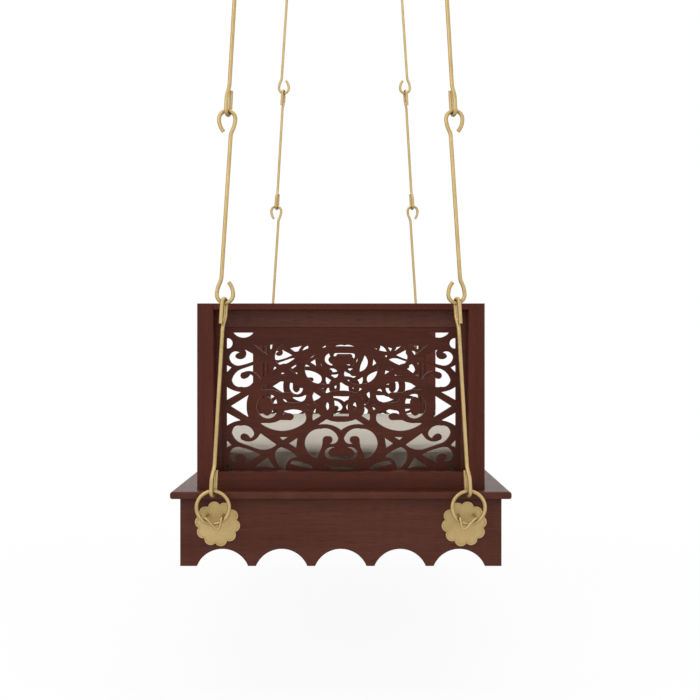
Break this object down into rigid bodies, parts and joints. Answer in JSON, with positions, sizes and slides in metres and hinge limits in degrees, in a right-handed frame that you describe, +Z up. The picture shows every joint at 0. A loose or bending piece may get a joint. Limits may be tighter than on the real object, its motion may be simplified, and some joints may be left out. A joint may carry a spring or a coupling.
{
  "type": "jhoola swing",
  "caption": "Ceiling-hung swing seat: wooden deck with scalloped aprons, pierced end panels and a mattress, hung on chains of linked brass rods with hooks, eyes and rings.",
  "frame": {"origin": "centre of the four ceiling studs, on the ceiling plane", "axes": "+Z up, +X along the seat's long side, +Y towards the back across the depth"},
  "size_m": [1.638, 0.686, 1.8044],
  "materials": {
    "dark_wood": "satin",
    "brass": "satin",
    "steel": "satin",
    "mattress_cover": "matte"
  },
  "bodies": {
    "root": {"ceiling_bracket_right_front": "brass", "ceiling_bracket_right_back": "brass", "ceiling_bracket_left_front": "brass", "ceiling_bracket_left_back": "brass", "anchor_bolts": "steel", "axle_pins": "steel"},
    "link_right_front": {"swing_link_right_front": "brass"},
    "link_right_back": {"swing_link_right_back": "brass"},
    "link_left_front": {"swing_link_left_front": "brass"},
    "link_left_back": {"swing_link_left_back": "brass"},
    "hanger_right_front": {"hook_rod_lower_right_front": "brass", "hook_rod_upper_right_front": "brass", "eye_rod_lower_right_front": "brass", "eye_rod_upper_right_front": "brass"},
    "hanger_right_back": {"hook_rod_lower_right_back": "brass", "hook_rod_upper_right_back": "brass", "eye_rod_lower_right_back": "brass", "eye_rod_upper_right_back": "brass"},
    "hanger_left_front": {"hook_rod_lower_left_front": "brass", "hook_rod_upper_left_front": "brass", "eye_rod_lower_left_front": "brass", "eye_rod_upper_left_front": "brass"},
    "hanger_left_back": {"hook_rod_lower_left_back": "brass", "hook_rod_upper_left_back": "brass", "eye_rod_lower_left_back": "brass", "eye_rod_upper_left_back": "brass"},
    "ring_right_front": {"ring_right_front": "brass"},
    "ring_right_back": {"ring_right_back": "brass"},
    "ring_left_front": {"ring_left_front": "brass"},
    "ring_left_back": {"ring_left_back": "brass"},
    "seat": {"rosette_right_front": "brass", "staple_right_front": "brass", "rosette_right_back": "brass", "staple_right_back": "brass", "rosette_left_front": "brass", "staple_left_front": "brass", "rosette_left_back": "brass", "staple_left_back": "brass", "staple_nuts": "steel", "seat_board": "dark_wood", "apron_front": "dark_wood", "apron_back": "dark_wood", "apron_left": "dark_wood", "apron_right": "dark_wood", "corner_blocks": "dark_wood", "cross_battens": "dark_wood", "post_right_front": "dark_wood", "post_right_back": "dark_wood", "post_left_front": "dark_wood", "post_left_back": "dark_wood", "top_rail_left": "dark_wood", "bottom_rail_left": "dark_wood", "inner_frame_left": "dark_wood", "jali_board_left": "dark_wood", "top_rail_right": "dark_wood", "bottom_rail_right": "dark_wood", "inner_frame_right": "dark_wood", "jali_board_right": "dark_wood", "mattress": "mattress_cover", "wood_screws": "steel"}
  },
  "joints": [
    {"name": "swing", "type": "hinge", "parent": "root", "child": "link_right_front", "pos_m": [0.777, -0.19564, -0.03], "axis": [1, 0, 0], "range_deg": [-15, 15]},
    {"name": "sway", "type": "hinge", "parent": "link_right_front", "child": "hanger_right_front", "pos_m": [0.777, -0.19564, -0.0607], "axis": [0, 1, 0], "range_deg": [-5, 5]},
    {"name": "ring_sway_right_front", "type": "hinge", "parent": "hanger_right_front", "child": "ring_right_front", "pos_m": [0.777, -0.255, -1.57905], "axis": [0, 1, 0], "range_deg": [-5.2, 5.2]},
    {"name": "ring_turn_right_front", "type": "hinge", "parent": "ring_right_front", "child": "seat", "pos_m": [0.777, -0.255, -1.6118], "axis": [1, 0, 0], "range_deg": [-15, 15]},
    {"name": "swing_right_back", "type": "hinge", "parent": "root", "child": "link_right_back", "pos_m": [0.777, 0.19564, -0.03], "axis": [1, 0, 0], "range_deg": [-15.2, 15.2]},
    {"name": "sway_right_back", "type": "hinge", "parent": "link_right_back", "child": "hanger_right_back", "pos_m": [0.777, 0.19564, -0.0607], "axis": [0, 1, 0], "range_deg": [-5.2, 5.2]},
    {"name": "ring_turn_right_back", "type": "hinge", "parent": "seat", "child": "ring_right_back", "pos_m": [0.777, 0.255, -1.6118], "axis": [1, 0, 0], "range_deg": [-15, 15]},
    {"name": "swing_left_front", "type": "hinge", "parent": "root", "child": "link_left_front", "pos_m": [-0.777, -0.19564, -0.03], "axis": [1, 0, 0], "range_deg": [-15.2, 15.2]},
    {"name": "sway_left_front", "type": "hinge", "parent": "link_left_front", "child": "hanger_left_front", "pos_m": [-0.777, -0.19564, -0.0607], "axis": [0, 1, 0], "range_deg": [-5.2, 5.2]},
    {"name": "ring_turn_left_front", "type": "hinge", "parent": "seat", "child": "ring_left_front", "pos_m": [-0.777, -0.255, -1.6118], "axis": [1, 0, 0], "range_deg": [-15, 15]},
    {"name": "swing_left_back", "type": "hinge", "parent": "root", "child": "link_left_back", "pos_m": [-0.777, 0.19564, -0.03], "axis": [1, 0, 0], "range_deg": [-15.2, 15.2]},
    {"name": "sway_left_back", "type": "hinge", "parent": "link_left_back", "child": "hanger_left_back", "pos_m": [-0.777, 0.19564, -0.0607], "axis": [0, 1, 0], "range_deg": [-5.2, 5.2]},
    {"name": "ring_turn_left_back", "type": "hinge", "parent": "seat", "child": "ring_left_back", "pos_m": [-0.777, 0.255, -1.6118], "axis": [1, 0, 0], "range_deg": [-15, 15]}
  ],
  "couplings": [
    {"joint": "ring_sway_right_front", "follows": "sway", "ratio": -1},
    {"joint": "ring_turn_right_front", "follows": "swing", "ratio": -0.7672},
    {"joint": "swing_right_back", "follows": "swing", "ratio": 1},
    {"joint": "sway_right_back", "follows": "sway", "ratio": 1},
    {"joint": "ring_turn_right_back", "follows": "swing", "ratio": 0.7672},
    {"joint": "swing_left_front", "follows": "swing", "ratio": 1},
    {"joint": "sway_left_front", "follows": "sway", "ratio": 1},
    {"joint": "ring_turn_left_front", "follows": "swing", "ratio": 0.7672},
    {"joint": "swing_left_back", "follows": "swing", "ratio": 1},
    {"joint": "sway_left_back", "follows": "sway", "ratio": 1},
    {"joint": "ring_turn_left_back", "follows": "swing", "ratio": 0.7672}
  ]
}
